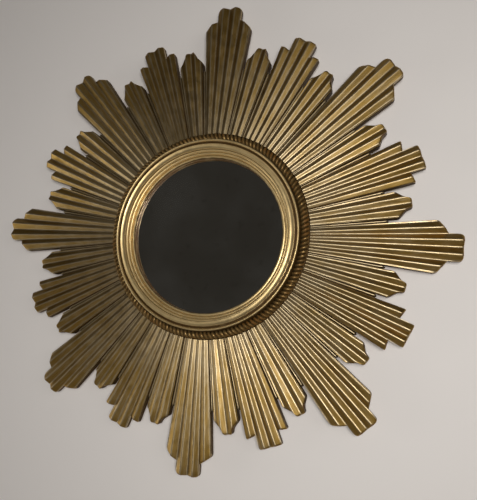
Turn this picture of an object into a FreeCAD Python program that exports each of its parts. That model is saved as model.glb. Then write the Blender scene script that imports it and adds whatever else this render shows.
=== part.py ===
import FreeCAD, Part
import math
import os

from FreeCAD import Vector

# Sunburst wall mirror: carved rays on a plywood ring, round a turned moulding that holds a flat glass.
# Millimetres and degrees. The front faces -Y, +Z is up and the axis of the sunburst runs along Y.
# The origin is on the wall, y = 0, level with the place where the wall hook bears in the hanging ring.
# Depths are measured from the wall, heights from the front of the backboard.

# Sunburst
long_reach = 350.0
medium_reach = 314.5
short_reach = 288.0
slip_reach = 255.5
crest_at_ring = 21.5
crest_at_tip = 13.5
flute_depth_at_tip = 6.0
slip_drop_at_end = 3.5
slip_edge_at_end = 10.0

# Angles from the axis of a ray, and the places of the rays round the sunburst
long_count = 8
long_half_angle = 6.35
medium_half_angle = 5.9
short_half_angle = 3.85
short_offset_angle = 11.46
flute_angle = 1.52
short_flute_angle = 1.67
seam_angle = 0.03

# Ends of the rays
long_shoulder_outer_drop = 32.5
long_shoulder_inner_drop = 19.0
long_shoulder_radius = 4.0
long_corner_radius = 6.5
medium_strip_outer_drop = 18.5
medium_strip_inner_drop = 21.0
medium_corner_radius = 2.0
short_shoulder_outer_drop = 19.0
short_shoulder_inner_drop = 8.5
short_shoulder_half_width = 8.5
short_shoulder_radius = 3.0
short_tip_half_width = 6.2
short_corner_radius = 3.0

# Ring moulding, from the glass outwards
sight_radius = 113.7
rebate_width = 8.3
lip_edge = 5.6
inner_bead_width = 4.4
inner_bead_rise = 1.8
step_width = 3.75
step_rise = 1.4
hollow_width = 6.7
hollow_drop = 1.0
groove_width = 3.6
groove_depth = 1.5
crest_bead_width = 3.8
ring_height = 35.8
rope_radius = 5.4
rope_gap = 0.15
rope_height = 20.5
rope_clear = 0.6
foot_ledge = 0.9
foot_chamfer = 1.5

# Glass and what is behind it
glass_thickness = 5.0
packing_thickness = 3.5
panel_thickness = 9.0
rebate_gap = 0.4

# Backboard and wall pads
board_radius = 240.0
board_thickness = 9.0
pad_height = 8.0
pad_radius = 9.0
pad_place_radius = 222.0
pad_count = 4

# Turn buttons
button_count = 4
button_width = 12.0
button_arm = 22.0
button_thickness = 2.0
button_clear = 3.5
button_gap = 0.2

# Screws
screw_radius = 1.75
screw_head_radius = 3.5
screw_head_height = 2.2
screw_fit = 0.05
screw_bite = 10.0
ring_screw_count = 8
ray_screw_radius = 180.0
glue_gap = 0.2

# Hanger
strap_width = 14.0
strap_length = 26.0
strap_thickness = 1.2
strap_screw_bite = 7.0
wire_radius = 1.6
wire_fit = 0.05
loop_half_width = 10.0
loop_leg = 5.0
hanger_radius = 212.0

cut_overrun = 1.0

# Depths of the faces, from the wall
board_back = pad_height
front = pad_height + board_thickness
rebate_depth = panel_thickness + packing_thickness + glass_thickness
sight_depth = front + rebate_depth

# Radii of the ring, from the glass outwards
rebate_radius = sight_radius + rebate_width
inner_bead_radius = sight_radius + inner_bead_width
hollow_radius = inner_bead_radius + step_width + step_width
groove_radius = hollow_radius + hollow_width
crest_bead_radius = groove_radius + groove_width
crest_radius = crest_bead_radius + crest_bead_width
rope_place_radius = crest_radius + rope_clear + rope_radius
ring_radius = rope_place_radius + rope_radius + foot_ledge

# Buttons turn inside the hole of the backboard
pivot_radius = rebate_radius + button_clear + button_width / 2
button_sweep_radius = math.hypot(pivot_radius + button_width / 2, button_arm)
board_hole_radius = button_sweep_radius + button_clear / 2
ring_screw_radius = (board_hole_radius + ring_radius) / 2

# All ridges and valleys of the sunburst run through one point of its axis, so every facet is flat
crest_fall = (crest_at_ring - crest_at_tip) / (long_reach - ring_radius)
apex_height = crest_at_ring + crest_fall * ring_radius
valley_fall = crest_fall + flute_depth_at_tip / long_reach
slip_fall = crest_fall + slip_drop_at_end / slip_reach
slip_edge_fall = (apex_height - slip_edge_at_end) / slip_reach

# The hook bears inside the top of the hanging ring
wire_depth = board_back - strap_thickness - wire_fit - wire_radius
hook_height = hanger_radius + loop_leg + loop_half_width - wire_radius

wall_origin = Vector(0, 0, 0)
axis = Vector(0, 1, 0)
outwards = Vector(0, -1, 0)


def tangent(angle):
    return math.tan(math.radians(angle))


def round_place(radius, angle):
    """Place on the wall at a radius from the axis of the sunburst, clockwise from the top."""
    turn = math.radians(angle)
    return Vector(radius * math.sin(turn), 0, radius * math.cos(turn))


def turned(outline, place=wall_origin):
    """Solid of revolution round a line along Y; the outline holds (radius, depth) points."""
    points = [Vector(radius, -depth, 0) for radius, depth in outline]
    face = Part.Face(Part.makePolygon(points + points[:1]))
    solid = face.revolve(wall_origin, axis, 360)
    solid.translate(place)
    return solid


def disc(radius, near, far, place=wall_origin):
    return turned([(0, near), (radius, near), (radius, far), (0, far)], place)


def clock_copies(solid, angles):
    """Copies of a solid, turned clockwise round the axis of the sunburst."""
    copies = []
    for angle in angles:
        copy = solid.copy()
        copy.rotate(wall_origin, axis, angle)
        copies.append(copy)
    return copies


def even_angles(count, first=0):
    return [first + index * 360 / count for index in range(count)]


# Rays and slips

def flute_profile(half_angle, step_angle):
    """Ridges and valleys across a ray, as (angle, fall along the ray), cut off at its two edges."""
    steps_inside = int(half_angle // step_angle)
    last_part = half_angle / step_angle - steps_inside
    last_fall = line_fall(steps_inside)
    edge_fall = last_fall + (line_fall(steps_inside + 1) - last_fall) * last_part
    profile = [(-half_angle, edge_fall)]
    for step in range(-steps_inside, steps_inside + 1):
        profile.append((step * step_angle, line_fall(step)))
    profile.append((half_angle, edge_fall))
    return profile


def line_fall(step):
    """Fall of a line of the fluting, counted from the valley along the middle of the ray."""
    return crest_fall if step % 2 else valley_fall


def ray_section(profile, reach):
    """Cross-section of an upright ray, at a distance from the axis of the sunburst."""
    left_angle = profile[0][0]
    right_angle = profile[-1][0]
    points = [Vector(reach * tangent(left_angle), -front, reach)]
    for angle, fall in profile:
        height = apex_height - fall * reach
        points.append(Vector(reach * tangent(angle), -front - height, reach))
    points.append(Vector(reach * tangent(right_angle), -front, reach))
    return points


def solid_between(near, far):
    """Solid with flat faces between two sections that have the same number of corners."""
    faces = [Part.Face(Part.makePolygon(section + section[:1])) for section in (near, far)]
    for index in range(len(near)):
        after = (index + 1) % len(near)
        corners = [near[index], near[after], far[after], far[index]]
        faces.append(Part.Face(Part.makePolygon(corners + corners[:1])))
    solid = Part.Solid(Part.makeShell(faces))
    if solid.Volume < 0:
        solid.reverse()
    return solid


def rounded_wire(corners):
    """Closed wire on the wall through (x, z, corner radius) points."""
    places = [Vector(x, 0, z) for x, z, radius in corners]
    arcs = []
    for index, (x, z, radius) in enumerate(corners):
        here = places[index]
        before = (places[index - 1] - here).normalize()
        after = (places[(index + 1) % len(places)] - here).normalize()
        half_turn = before.getAngle(after) / 2
        along = radius / math.tan(half_turn)
        middle = here + (before + after).normalize() * (radius / math.sin(half_turn) - radius)
        arcs.append((here + before * along, middle, here + after * along))
    edges = []
    for index, (start, middle, end) in enumerate(arcs):
        if corners[index][2] > 0:
            edges.append(Part.Arc(start, middle, end).toShape())
        edges.append(Part.LineSegment(end, arcs[(index + 1) % len(arcs)][0]).toShape())
    return Part.Wire(edges)


def tip_cutter(right_side):
    """Prism of a ray's plan, from the axis of the sunburst along its edges and round its end.

    right_side holds (x, z, corner radius) from the end of the right edge to the end of the ray.
    """
    left_side = [(-x, z, radius) for x, z, radius in reversed(right_side)]
    face = Part.Face(rounded_wire([(0, 0, 0)] + right_side + left_side))
    face.translate(Vector(0, cut_overrun - front, 0))
    return face.extrude(outwards * (apex_height + cut_overrun))


def on_radius(angle, reach, radius=0):
    """Corner of a plan where a line at an angle from the ray's axis is at a distance along that axis."""
    return (reach * tangent(angle), reach, radius)


def long_plan():
    return [
        on_radius(long_half_angle, long_reach - long_shoulder_outer_drop, long_shoulder_radius),
        on_radius(2 * flute_angle, long_reach - long_shoulder_inner_drop),
        on_radius(2 * flute_angle, long_reach, long_corner_radius),
    ]


def medium_plan():
    return [
        on_radius(medium_half_angle, medium_reach - medium_strip_outer_drop, medium_corner_radius),
        on_radius(2 * flute_angle, medium_reach - medium_strip_inner_drop),
        on_radius(2 * flute_angle, medium_reach, medium_corner_radius),
    ]


def short_plan():
    return [
        on_radius(short_half_angle, short_reach - short_shoulder_outer_drop, short_shoulder_radius),
        (short_shoulder_half_width, short_reach - short_shoulder_inner_drop, short_shoulder_radius),
        (short_tip_half_width, short_reach, short_corner_radius),
    ]


def ray(half_angle, step_angle, reach, plan):
    """One carved ray, upright, its foot hollowed to the ring and its screw hole bored."""
    profile = flute_profile(half_angle, step_angle)
    foot = ring_radius * math.cos(math.radians(half_angle)) - cut_overrun
    solid = solid_between(ray_section(profile, foot), ray_section(profile, reach + cut_overrun))
    solid = solid.common(tip_cutter(plan))
    solid = solid.cut(disc(ring_radius + glue_gap, 0, front + apex_height + cut_overrun))
    hole_end = front + screw_bite + screw_fit
    hole = disc(screw_radius + screw_fit, 0, hole_end, round_place(ray_screw_radius, 0))
    return solid.cut(hole).Solids[0]


def slip(centre_angle, half_angle):
    """One narrow filler between two rays."""
    profile = [(-half_angle, slip_edge_fall), (0, slip_fall), (half_angle, slip_edge_fall)]
    foot = ring_radius * math.cos(math.radians(half_angle)) - cut_overrun
    solid = solid_between(ray_section(profile, foot), ray_section(profile, slip_reach))
    solid = solid.cut(disc(ring_radius + glue_gap, 0, front + apex_height + cut_overrun)).Solids[0]
    return clock_copies(solid, even_angles(long_count, centre_angle))


def slip_between(low_angle, high_angle):
    """Slips that fill the gap between two edges, and its mirror image beside each long ray."""
    centre = (low_angle + high_angle) / 2
    half = (high_angle - low_angle) / 2 - seam_angle
    return slip(centre, half) + slip(-centre, half)


# Ring, glass and back

def profile_point(radius, height):
    return Vector(radius, -front - height, 0)


def ring_moulding():
    """Turned ring: rebate, lip, bead, steps, hollow, groove, crest bead, rope seat and foot."""
    lip_height = rebate_depth + lip_edge
    bead_top = lip_height + inner_bead_rise
    bead_crown_share = 0.4
    hollow_foot = bead_top + step_rise + step_rise
    crest_bead_half = crest_bead_width / 2
    crest_foot = ring_height - crest_bead_half
    hollow_top = ring_height - hollow_drop
    hollow_sag = hollow_width / 8
    seat = rope_radius + rope_gap
    seat_share = math.sqrt(0.5)
    foot_height = rope_height - seat
    step_radius = inner_bead_radius + step_width
    bead_crown = (sight_radius + inner_bead_width * bead_crown_share, bead_top)
    hollow_middle_radius = (hollow_radius + groove_radius) / 2 + hollow_sag
    hollow_middle = (hollow_middle_radius, (hollow_foot + hollow_top) / 2 - hollow_sag)
    crest_crown = (crest_bead_radius + crest_bead_half, ring_height)
    seat_middle = (rope_place_radius - seat, rope_height)

    # Radius and height of each corner, and the middle of the arc to the next one where it isn't straight
    corners = [
        (rebate_radius, 0, None),
        (rebate_radius, rebate_depth, None),
        (sight_radius, rebate_depth, None),
        (sight_radius, lip_height, bead_crown),
        (inner_bead_radius, bead_top, None),
        (inner_bead_radius, bead_top + step_rise, None),
        (step_radius, bead_top + step_rise, None),
        (step_radius, hollow_foot, None),
        (hollow_radius, hollow_foot, hollow_middle),
        (groove_radius, hollow_top, None),
        (groove_radius, hollow_top - groove_depth, None),
        (crest_bead_radius, hollow_top - groove_depth, None),
        (crest_bead_radius, crest_foot, crest_crown),
        (crest_radius, crest_foot, None),
        (rope_place_radius - seat * seat_share, rope_height + seat * seat_share, seat_middle),
        (rope_place_radius, foot_height, None),
        (ring_radius - foot_chamfer, foot_height, None),
        (ring_radius, foot_height - foot_chamfer, None),
        (ring_radius, 0, None),
    ]
    edges = []
    for index, (radius, height, arc_middle) in enumerate(corners):
        next_radius, next_height = corners[(index + 1) % len(corners)][:2]
        start = profile_point(radius, height)
        end = profile_point(next_radius, next_height)
        if arc_middle:
            edges.append(Part.Arc(start, profile_point(*arc_middle), end).toShape())
        else:
            edges.append(Part.LineSegment(start, end).toShape())
    solid = Part.Face(Part.Wire(edges)).revolve(wall_origin, axis, 360)
    for place in ring_screw_places():
        solid = solid.cut(disc(screw_radius + screw_fit, 0, front + screw_bite + screw_fit, place))
    for place in button_places():
        solid = solid.cut(disc(screw_radius + screw_fit, 0, front + screw_bite + screw_fit, place))
    return solid


def backboard():
    solid = turned([
        (board_hole_radius, board_back), (board_radius, board_back),
        (board_radius, front), (board_hole_radius, front),
    ])
    for place in ring_screw_places() + ray_screw_places():
        solid = solid.cut(countersunk_screw(place, screw_fit))
    for place in strap_screw_places():
        hole = disc(screw_radius + screw_fit, 0, board_back + strap_screw_bite + screw_fit, place)
        solid = solid.cut(hole)
    return solid


def turn_button():
    """Turn button of the top, its arm over the panel, with a hole for its screw."""
    half_width = button_width / 2
    depth = front - button_gap - button_thickness
    tail = disc(half_width, depth, depth + button_thickness, round_place(pivot_radius, 0))
    nose_height = pivot_radius - button_arm + half_width
    nose = disc(half_width, depth, depth + button_thickness, round_place(nose_height, 0))
    corner = Vector(-half_width, -depth - button_thickness, nose_height)
    bar = Part.makeBox(button_width, button_thickness, button_arm - half_width, corner)
    hole = disc(screw_radius + screw_fit, 0, front, round_place(pivot_radius, 0))
    return tail.fuse(bar).fuse(nose).removeSplitter().cut(hole).Solids[0]


# Screws

def ring_screw_places():
    first = 180 / ring_screw_count
    return [round_place(ring_screw_radius, angle) for angle in even_angles(ring_screw_count, first)]


def ray_screw_places():
    angles = even_angles(2 * long_count)
    for offset in (short_offset_angle, -short_offset_angle):
        angles += even_angles(long_count, offset)
    return [round_place(ray_screw_radius, angle) for angle in angles]


def button_places():
    return [round_place(pivot_radius, angle) for angle in even_angles(button_count)]


def strap_screw_places():
    """Two places along the strap, at the quarters of its flat length."""
    flat = strap_length - wire_radius
    return [Vector(0, 0, hanger_radius - strap_length + flat * quarter / 4) for quarter in (1, 3)]


def countersunk_screw(place, grow=0):
    """Countersunk screw, flush with the back of the backboard; grow widens it into its hole."""
    cone = screw_head_radius - screw_radius
    end = front + screw_bite + grow
    radius = screw_radius + grow
    head = screw_head_radius + grow
    neck = board_back + cone
    return turned([(0, board_back), (head, board_back), (radius, neck), (radius, end), (0, end)], place)


def round_head_screw(place, seat_depth, end_depth):
    """Round-headed screw whose head bears at one depth and whose point is at another."""
    head = disc(screw_head_radius, seat_depth - screw_head_height, seat_depth, place)
    shank = disc(screw_radius, seat_depth - screw_head_height / 2, end_depth, place)
    return head.fuse(shank).removeSplitter().Solids[0]


# Hanger

def hanger_strap():
    """Strap with an eye for the hanging ring, and two screw holes."""
    eye_radius = wire_radius + wire_fit
    eye_outer = eye_radius + strap_thickness
    half_width = strap_width / 2
    foot = hanger_radius - strap_length
    across = Vector(1, 0, 0)
    start = Vector(-half_width, -wire_depth, hanger_radius)
    corner = Vector(-half_width, -board_back, foot)
    plate = Part.makeBox(strap_width, strap_thickness, strap_length, corner)
    eye = Part.makeCylinder(eye_outer, strap_width, start, across)
    bore = Part.makeCylinder(eye_radius, strap_width, start, across)
    solid = plate.fuse(eye).cut(bore)
    for place in strap_screw_places():
        solid = solid.cut(disc(screw_radius + screw_fit, 0, front, place))
    return solid.removeSplitter().Solids[0]


def hanging_ring():
    """D-shaped wire ring: a straight bar in the strap's eye, two legs and a half-round bow."""
    across = Vector(1, 0, 0)
    upwards = Vector(0, 0, 1)
    left = Vector(-loop_half_width, -wire_depth, hanger_radius)
    right = Vector(loop_half_width, -wire_depth, hanger_radius)
    bow_centre = Vector(0, -wire_depth, hanger_radius + loop_leg)
    solid = Part.makeCylinder(wire_radius, 2 * loop_half_width, left, across)
    for foot in (left, right):
        solid = solid.fuse(Part.makeSphere(wire_radius, foot))
        solid = solid.fuse(Part.makeCylinder(wire_radius, loop_leg, foot, upwards))
    section = Part.Wire(Part.Circle(right + upwards * loop_leg, upwards, wire_radius).toShape())
    bow = Part.Face(section).revolve(bow_centre, outwards, 180)
    return solid.fuse(bow).removeSplitter().Solids[0]


def wall_pads():
    places = [round_place(pad_place_radius, angle) for angle in even_angles(pad_count, 180 / pad_count)]
    return [disc(pad_radius, 0, board_back, place) for place in places]


def numbered(name, solids):
    return {f"{name}_{index + 1:02d}": [solid] for index, solid in enumerate(solids)}


def all_parts():
    """Every node with its solids, about the axis of the sunburst."""
    parts = {"backboard": [backboard()]}
    long_ray = ray(long_half_angle, flute_angle, long_reach, long_plan())
    medium_ray = ray(medium_half_angle, flute_angle, medium_reach, medium_plan())
    short_ray = ray(short_half_angle, short_flute_angle, short_reach, short_plan())
    short_angles = []
    for angle in even_angles(long_count):
        short_angles += [angle + short_offset_angle, angle + 360 / long_count - short_offset_angle]
    parts.update(numbered("ray_long", clock_copies(long_ray, even_angles(long_count))))
    medium_angles = even_angles(long_count, 180 / long_count)
    parts.update(numbered("ray_medium", clock_copies(medium_ray, medium_angles)))
    parts.update(numbered("ray_short", clock_copies(short_ray, short_angles)))

    short_low = short_offset_angle - short_half_angle
    short_high = short_offset_angle + short_half_angle
    slips = slip_between(long_half_angle, short_low)
    slips += slip_between(short_high, 180 / long_count - medium_half_angle)
    parts["filler_slips"] = slips

    parts["ring_moulding"] = [ring_moulding()]
    rope_centre = Vector(0, -front - rope_height, 0)
    parts["twisted_band"] = [Part.makeTorus(rope_place_radius, rope_radius, rope_centre, axis)]

    sheet_radius = rebate_radius - rebate_gap
    panel_front = front + panel_thickness
    packing_front = panel_front + packing_thickness
    parts["mirror_glass"] = [disc(sheet_radius, packing_front, sight_depth)]
    parts["packing_sheet"] = [disc(sheet_radius, panel_front, packing_front)]
    parts["backing_panel"] = [disc(sheet_radius, front, panel_front)]

    button_names = ("top", "right", "bottom", "left")
    for name, solid in zip(button_names, clock_copies(turn_button(), even_angles(button_count))):
        parts[f"turn_button_{name}"] = [solid]
    button_seat = front - button_thickness - 2 * button_gap
    parts["button_screws"] = [
        round_head_screw(place, button_seat, front + screw_bite) for place in button_places()
    ]
    parts["ring_screws"] = [countersunk_screw(place) for place in ring_screw_places()]
    parts["ray_screws"] = [countersunk_screw(place) for place in ray_screw_places()]

    parts["hanger_strap"] = [hanger_strap()]
    parts["hanging_ring"] = [hanging_ring()]
    strap_seat = board_back - strap_thickness
    parts["strap_screws"] = [
        round_head_screw(place, strap_seat, board_back + strap_screw_bite) for place in strap_screw_places()
    ]
    parts["wall_pads"] = wall_pads()
    return parts


def main():
    os.makedirs("parts", exist_ok=True)
    for node, solids in all_parts().items():
        shape = solids[0] if len(solids) == 1 else Part.makeCompound(solids)
        shape.translate(Vector(0, 0, -hook_height))
        shape.exportStep(f"parts/{node}.step")
        print(node, len(solids), round(shape.Volume, 1), shape.isValid())


main()
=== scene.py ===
import math
import random

import bmesh
import bpy
from bmesh.types import BMEdge, BMFace, BMVert
from bpy.props import FloatProperty, FloatVectorProperty, IntProperty, PointerProperty
from bpy.types import NodeSocket, Operator, Panel, PropertyGroup
from mathutils import Matrix, Vector, noise


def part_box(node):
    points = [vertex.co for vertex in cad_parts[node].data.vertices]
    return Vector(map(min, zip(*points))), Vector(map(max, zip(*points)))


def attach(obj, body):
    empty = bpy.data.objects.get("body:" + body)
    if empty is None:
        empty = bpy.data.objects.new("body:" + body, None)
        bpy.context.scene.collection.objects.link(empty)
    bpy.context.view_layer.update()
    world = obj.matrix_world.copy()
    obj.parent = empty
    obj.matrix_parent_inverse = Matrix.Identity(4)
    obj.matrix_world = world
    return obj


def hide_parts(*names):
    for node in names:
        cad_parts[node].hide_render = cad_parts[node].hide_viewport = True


bl_info = {
    "name": "Sunburst Wall Mirror",
    "version": (1, 0, 0),
    "blender": (4, 5, 0),
    "location": "View3D > Sidebar > Sunburst",
    "description": "Carved gilt rays, ring, glass, back and stage of a sunburst wall mirror",
    "category": "Object",
}

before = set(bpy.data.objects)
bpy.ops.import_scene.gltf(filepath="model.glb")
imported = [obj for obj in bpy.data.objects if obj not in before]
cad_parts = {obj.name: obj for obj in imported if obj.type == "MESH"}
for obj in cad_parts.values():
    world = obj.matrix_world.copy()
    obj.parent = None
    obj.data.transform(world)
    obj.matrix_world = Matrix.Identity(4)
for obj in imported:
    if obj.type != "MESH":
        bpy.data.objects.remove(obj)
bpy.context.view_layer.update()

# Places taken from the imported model: +Z is up, the front faces -Y and the wall is at y = 0
glass_low, glass_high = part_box("mirror_glass")
centre = (glass_low + glass_high) / 2
centre.y = 0
board_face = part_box("backboard")[0].y
long_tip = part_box("ray_long_01")[1].z

FULL_TURN = 2 * math.pi
QUARTER_TURN = FULL_TURN / 4
OCTANTS = 8
OCTANT = FULL_TURN / OCTANTS
MERGE_DISTANCE = 1e-5
SHARP_ANGLE = math.radians(38)
FLAT_ANGLE = math.radians(15)
SURFACE_UV = "surface"


# Settings

def length(name, description, default):
    return FloatProperty(
        name=name, description=description, default=default, precision=5,
        unit="LENGTH", subtype="DISTANCE")


def angle(name, description, degrees):
    return FloatProperty(
        name=name, description=description, default=math.radians(degrees),
        unit="ROTATION", subtype="ANGLE")


def share(name, description, default):
    return FloatProperty(
        name=name, description=description, default=default, min=0, max=1, subtype="FACTOR")


def colour(name, description, default):
    return FloatVectorProperty(
        name=name, description=description, default=default, size=3, min=0, max=1, subtype="COLOR")


def power(name, description, default):
    return FloatProperty(name=name, description=description, default=default, min=0, unit="POWER")


class RaySizes(PropertyGroup):
    """Carved rays and the slips between them."""

    long_reach: length("Long reach", "Axis to the end of a long ray", long_tip - centre.z)
    medium_reach: length("Medium reach", "Axis to the end of a medium ray", 0.3145)
    short_reach: length("Short reach", "Axis to the end of a short ray", 0.288)
    slip_reach: length("Slip reach", "Axis to the end of a filler slip", 0.2555)
    foot_radius: length("Foot radius", "Circle that the rays start from", 0.1522)
    crest_at_ring: length("Crest at ring", "Height of the ridges beside the ring", 0.0215)
    crest_at_tip: length("Crest at tip", "Height of the ridges at the end of a long ray", 0.0135)
    flute_depth: length("Flute depth", "Depth of the valleys at the end of a long ray", 0.006)
    slip_drop: length("Slip drop", "Ridge of a slip below the rays' ridges, at its end", 0.0035)
    slip_edge: length("Slip edge", "Height of a slip's edges, at its end", 0.01)
    slip_round: length("Slip rounding", "Half width of a slip's rounded ridge", 0.0013)
    long_half: angle("Long half angle", "Axis of a long ray to its edge", 6.35)
    medium_half: angle("Medium half angle", "Axis of a medium ray to its edge", 5.9)
    short_half: angle("Short half angle", "Axis of a short ray to its edge", 3.85)
    short_offset: angle("Short offset", "Axis of a long ray to the next short ray", 11.46)
    flute_step: angle("Flute step", "Ridge to valley of a long or medium ray", 1.52)
    short_flute_step: angle("Short flute step", "Ridge to valley of a short ray", 1.67)
    line_round: length("Line rounding", "Half width of a rounded ridge or valley", 0.0011)
    tab_nick: angle("Tab nick", "Lean of the sides of a ray's tab", 0.06)
    long_shoulder_outer: length("Long shoulder, outer", "End of the ray to its shoulder's edge", 0.0325)
    long_shoulder_inner: length("Long shoulder, inner", "End of the ray to its shoulder's root", 0.019)
    long_shoulder_round: length("Long shoulder rounding", "Rounding of the shoulder's corner", 0.004)
    long_corner_round: length("Long tab rounding", "Rounding of the tab's corners", 0.0065)
    medium_strip_outer: length("Medium strip, outer", "End of the ray to its side strip's edge", 0.0185)
    medium_strip_inner: length("Medium strip, inner", "End of the ray to its side strip's root", 0.021)
    medium_corner_round: length("Medium rounding", "Rounding of a medium ray's corners", 0.002)
    short_shoulder_outer: length("Short shoulder, outer", "End of the ray to its shoulder's edge", 0.019)
    short_shoulder_inner: length("Short shoulder, inner", "End of the ray to its shoulder's root", 0.0085)
    short_shoulder_width: length("Short shoulder width", "Axis to the shoulder's root", 0.0085)
    short_shoulder_round: length("Short shoulder rounding", "Rounding of the shoulder", 0.003)
    short_tip_width: length("Short tip width", "Axis to the corner of the tip", 0.0062)
    short_corner_round: length("Short tip rounding", "Rounding of the tip's corners", 0.003)
    end_round: length("End rounding", "Worn rounding along the cut ends", 0.003)
    end_wear: length("End wear", "Cut end to where its wear fades out", 0.012)
    edge_round: length("Edge rounding", "Worn rounding along the long edges", 0.0007)
    carving_wave: length("Carving wave", "Unevenness of the hand-cut faces", 0.00022)
    line_drift: share("Line drift", "Wandering of a ridge, as a share of the flute step", 0.07)
    depth_drift: share("Depth drift", "Unevenness of the valleys' fall, as a share of it", 0.03)
    body_rows: IntProperty(name="Rows", description="Cuts along a ray", default=26, min=4)
    hand_seed: IntProperty(name="Hand", description="Seed of the carver's unevenness", default=7)


class RingSizes(PropertyGroup):
    """Turned ring moulding, from the glass outwards, and the twisted band."""

    sight_radius: length("Sight radius", "Visible edge of the glass", 0.1137)
    rebate_radius: length("Rebate radius", "Side of the recess for the glass", 0.122)
    rebate_depth: length("Rebate depth", "Board to the lip over the glass", 0.0175)
    lip_edge: length("Lip edge", "Upright edge of the lip", 0.0056)
    bead_width: length("Inner bead", "Width of the bead at the glass", 0.0044)
    bead_rise: length("Inner bead rise", "Rise of that bead", 0.0018)
    step_width: length("Reed width", "Width of each reed", 0.00375)
    step_rise: length("Reed rise", "Rise of each reed", 0.0026)
    hollow_width: length("Hollow width", "Width of the broad hollow", 0.0067)
    hollow_drop: length("Hollow drop", "Crest bead's top to the edge of the hollow", 0.0016)
    hollow_tilt: length("Hollow tilt", "Outer edge of the hollow above its inner edge", 0.0010)
    groove_width: length("Groove width", "Width of the groove beside the crest bead", 0.0036)
    groove_depth: length("Groove depth", "Depth of that groove", 0.0015)
    crest_width: length("Crest bead", "Width of the crest bead", 0.0038)
    height: length("Height", "Board to the top of the crest bead", 0.0358)
    outer_radius: length("Outer radius", "Foot of the ring", 0.152)
    foot_height: length("Foot height", "Ledge below the twisted band", 0.01495)
    foot_chamfer: length("Foot chamfer", "Chamfer of that ledge", 0.0015)
    reed_nick: length("Reed nick", "Half width and depth of the cut beside each reed", 0.0005)
    soften: length("Softening", "Rounding of the turned corners under the gilding", 0.0003)
    unevenness: length("Unevenness", "Waviness of the gilt surface", 0.00018)
    steps: IntProperty(name="Steps", description="Facets round the ring", default=240, min=24)
    band_radius: length("Band place", "Axis of the sunburst to the middle of the band", 0.1454)
    band_height: length("Band height", "Board to the middle of the band", 0.0221)
    band_thickness: length("Band thickness", "Radius of the twisted band", 0.0064)
    band_strands: IntProperty(name="Strands", description="Strands of the band", default=2, min=2)
    band_twists: IntProperty(
        name="Twists", description="Turns of the strands round the ring", default=75, min=4)
    band_groove: share("Band groove", "Depth between strands, as a share of the radius", 0.5)


class BackSizes(PropertyGroup):
    """Glass and what is seen from behind."""

    glass_bevel: length("Glass arris", "Ground edge of the glass", 0.0006)
    pivot_radius: length("Button pivot", "Axis of the sunburst to a button's screw", 0.1315)
    button_width: length("Button width", "Width of a turn button", 0.012)
    button_arm: length("Button arm", "Pivot to the nose of a turn button", 0.022)
    button_bevel: length("Button bevel", "Rounded edges of a turn button", 0.0006)
    screw_head: length("Screw head", "Radius of the screw heads", 0.0035)
    screw_shank: length("Screw shank", "Radius of the screw shanks", 0.00175)
    dome_height: length("Dome height", "Height of a round screw head", 0.0022)
    slot_width: length("Slot width", "Width of a screw's slot", 0.0009)
    slot_depth: length("Slot depth", "Depth of a screw's slot", 0.0008)
    ring_screw_radius: length("Ring screws", "Circle of the screws into the ring", 0.1465)
    ray_screw_radius: length("Ray screws", "Circle of the screws into the rays", 0.18)
    strap_bevel: length("Strap bevel", "Rounded edges of the hanger strap", 0.0003)
    wire_radius: length("Wire radius", "Half thickness of the hanging ring", 0.0016)
    wire_bend: length("Wire bend", "Rounding of the ring's lower corners", 0.0024)
    pad_radius: length("Pad radius", "Half width of a felt pad", 0.009)
    pad_round: length("Pad rounding", "Rounded rim of the felt pads", 0.0012)
    ply_thickness: length("Ply", "Thickness of one ply of the boards", 0.0013)


class Finishes(PropertyGroup):
    """Colours of the finishes."""

    # The bright ray gilt is also the painted highlight along the ridge and valley lines, and the deep ray
    # gilt the painted shade on their flanks
    gilt_bright_and_highlight: colour("Gilt, bright", "Gold paint on the lines of the carving", (0.45, 0.353, 0.212))
    gilt_deep_and_shade: colour("Gilt, deep", "Browned gold paint between the lines", (0.315, 0.192, 0.045))
    ring_light: colour("Ring gilt, bright", "Burnished gold of the ring", (0.75, 0.56, 0.275))
    ring_deep: colour("Ring gilt, deep", "Thin gold of the ring", (0.59, 0.395, 0.145))
    band_light: colour("Band gilt, bright", "Toned gold of the twisted band", (0.26, 0.165, 0.060))
    band_deep: colour("Band gilt, deep", "Toned gold between the strands", (0.06, 0.033, 0.010))
    edge_light: colour("Edge gilt, bright", "Toned gold on the sides of the rays", (0.15, 0.088, 0.028))
    edge_deep: colour("Edge gilt, deep", "Thin gold on the sides of the rays", (0.05, 0.027, 0.007))
    patina: colour("Patina", "Brown wax in the hollows", (0.060, 0.030, 0.006))
    bole: colour("Bole", "Red-brown ground where the gold is worn through", (0.15, 0.066, 0.013))
    silvering: colour("Silvering", "Reflection of the glass", (0.80, 0.81, 0.79))
    foxing: colour("Foxing", "Clouded spots of the silvering", (0.66, 0.66, 0.63))
    ply_light: colour("Ply, light", "Pale veneer of the plywood", (0.50, 0.35, 0.20))
    ply_dark: colour("Ply, dark", "Dark grain and glue lines of the plywood", (0.24, 0.14, 0.07))
    carver_wood: colour("Carver's wood", "Bare back of the rays and the ring", (0.36, 0.23, 0.12))
    card: colour("Card", "Packing between glass and panel", (0.30, 0.28, 0.25))
    brass: colour("Brass", "Turn buttons, hanger strap and hanging ring", (0.72, 0.52, 0.22))
    steel: colour("Steel", "Screws", (0.55, 0.54, 0.52))
    felt: colour("Felt", "Wall pads", (0.12, 0.10, 0.085))


LAMPS = ("key", "side", "fill", "top", "rear")
LAMP_PARTS = ("turn", "rise", "distance", "size", "power")


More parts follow.
